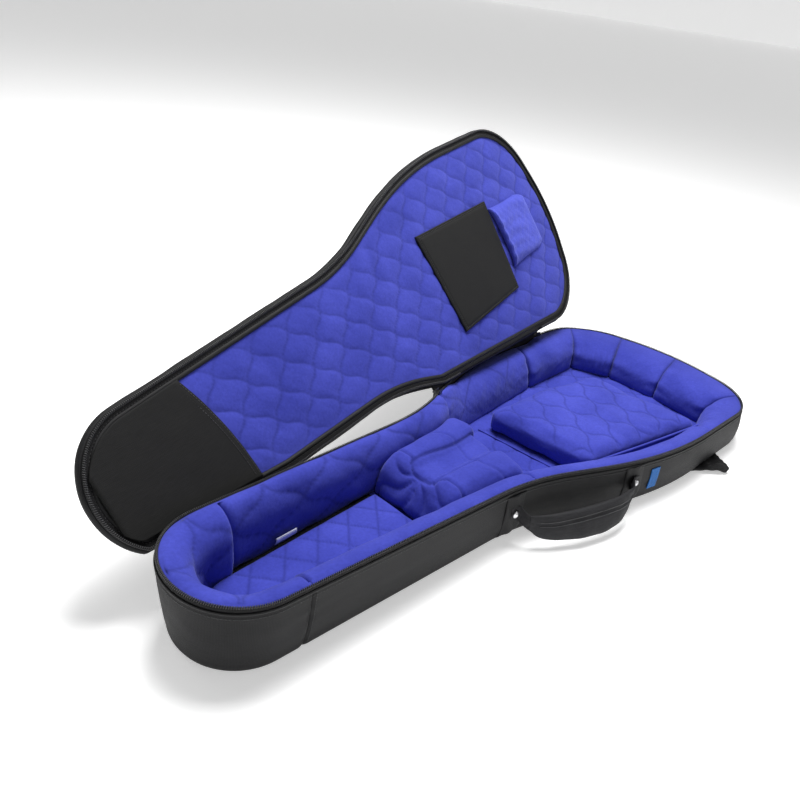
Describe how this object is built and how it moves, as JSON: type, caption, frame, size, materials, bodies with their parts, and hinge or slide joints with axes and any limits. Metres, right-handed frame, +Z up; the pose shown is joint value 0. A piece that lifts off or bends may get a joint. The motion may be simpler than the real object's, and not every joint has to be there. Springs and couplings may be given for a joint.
{
  "type": "guitar gig bag",
  "caption": "Padded gig bag for an electric guitar, lying open: cushioned tray with neck cradle and body block, quilted lid standing open on its hinge, carry handle.",
  "frame": {"origin": "under the middle of the tray, on its flat bottom", "axes": "+X from the head end to the body end, +Y to the hinge side, +Z up"},
  "size_m": [1.0988, 0.6469, 0.4009],
  "materials": {
    "shell_fabric": "woven nylon",
    "blue_plush": "short plush pile",
    "light_plush": "short plush pile",
    "black_trim": "smooth woven",
    "foam": "closed-cell foam",
    "zipper_tape": "woven tape",
    "zipper_coil": "moulded nylon",
    "webbing": "webbing",
    "dark_metal": "satin",
    "nickel": "satin",
    "tag_blue": "woven tag",
    "label_grey": "satin ribbon"
  },
  "bodies": {
    "tray": {"base_panel": "shell_fabric", "body_block": "blue_plush", "care_label": "label_grey", "end_gusset": "shell_fabric", "end_pad": "blue_plush", "far_corner_pad": "blue_plush", "far_gusset": "shell_fabric", "far_neck_pad": "blue_plush", "far_side_pad": "blue_plush", "floor_lining": "blue_plush", "handle_rivets": "nickel", "handle_stubs": "webbing", "handle_tabs": "shell_fabric", "harness_anchors": "shell_fabric", "head_bumper": "blue_plush", "head_gusset": "shell_fabric", "hinge_tape": "black_trim", "near_body_roll": "blue_plush", "near_corner_roll": "blue_plush", "near_end_pad": "blue_plush", "near_gusset": "shell_fabric", "near_neck_roll": "blue_plush", "neck_cradle": "blue_plush", "neck_floor_pad": "blue_plush", "side_tag": "tag_blue", "tray_zipper_coil": "zipper_coil", "tray_zipper_tape": "zipper_tape", "waist_wing_pad": "blue_plush"},
    "lid": {"lid_panel": "shell_fabric", "lid_wall": "shell_fabric", "lid_foam": "foam", "lid_lining": "blue_plush", "lid_zipper_coil": "zipper_coil", "lid_zipper_tape": "zipper_tape", "lid_binding": "black_trim", "headstock_panel": "black_trim", "bridge_patch": "black_trim", "pouch_front": "light_plush", "pouch_sides": "light_plush", "lid_pocket": "shell_fabric", "pocket_zipper": "zipper_coil"},
    "handle": {"handle_strap": "webbing", "handle_grip": "shell_fabric"},
    "head_slider": {"head_slider": "dark_metal"},
    "head_pull": {"head_pull": "dark_metal"},
    "end_slider": {"end_slider": "dark_metal"},
    "end_pull": {"end_pull": "dark_metal"}
  },
  "joints": [
    {"name": "lid_hinge", "type": "hinge", "parent": "tray", "child": "lid", "pos_m": [0.06, 0.14214, 0.088], "axis": [0.9903, 0.139, 0], "range_deg": [0, 127]},
    {"name": "handle_swing", "type": "hinge", "parent": "tray", "child": "handle", "pos_m": [-0.09964, -0.11898, 0.046], "axis": [-0.9575, 0.2886, 0], "range_deg": [0, 75]},
    {"name": "head_slide", "type": "slide", "parent": "tray", "child": "head_slider", "axis": [-0.938, -0.3447, 0.0353], "range_m": [0, 0.03]},
    {"name": "head_pull_swing", "type": "hinge", "parent": "head_slider", "child": "head_pull", "pos_m": [-0.0095, 0.1315, 0.0843], "axis": [0.938, 0.3447, -0.0353], "range_deg": [0, 60]},
    {"name": "end_slide", "type": "slide", "parent": "tray", "child": "end_slider", "axis": [0.9992, 0.0118, -0.0376], "range_m": [0, 0.03]},
    {"name": "end_pull_swing", "type": "hinge", "parent": "end_slider", "child": "end_pull", "pos_m": [0.35197, 0.19471, 0.07076], "axis": [0.9992, 0.0118, -0.0376], "range_deg": [0, 120]}
  ]
}
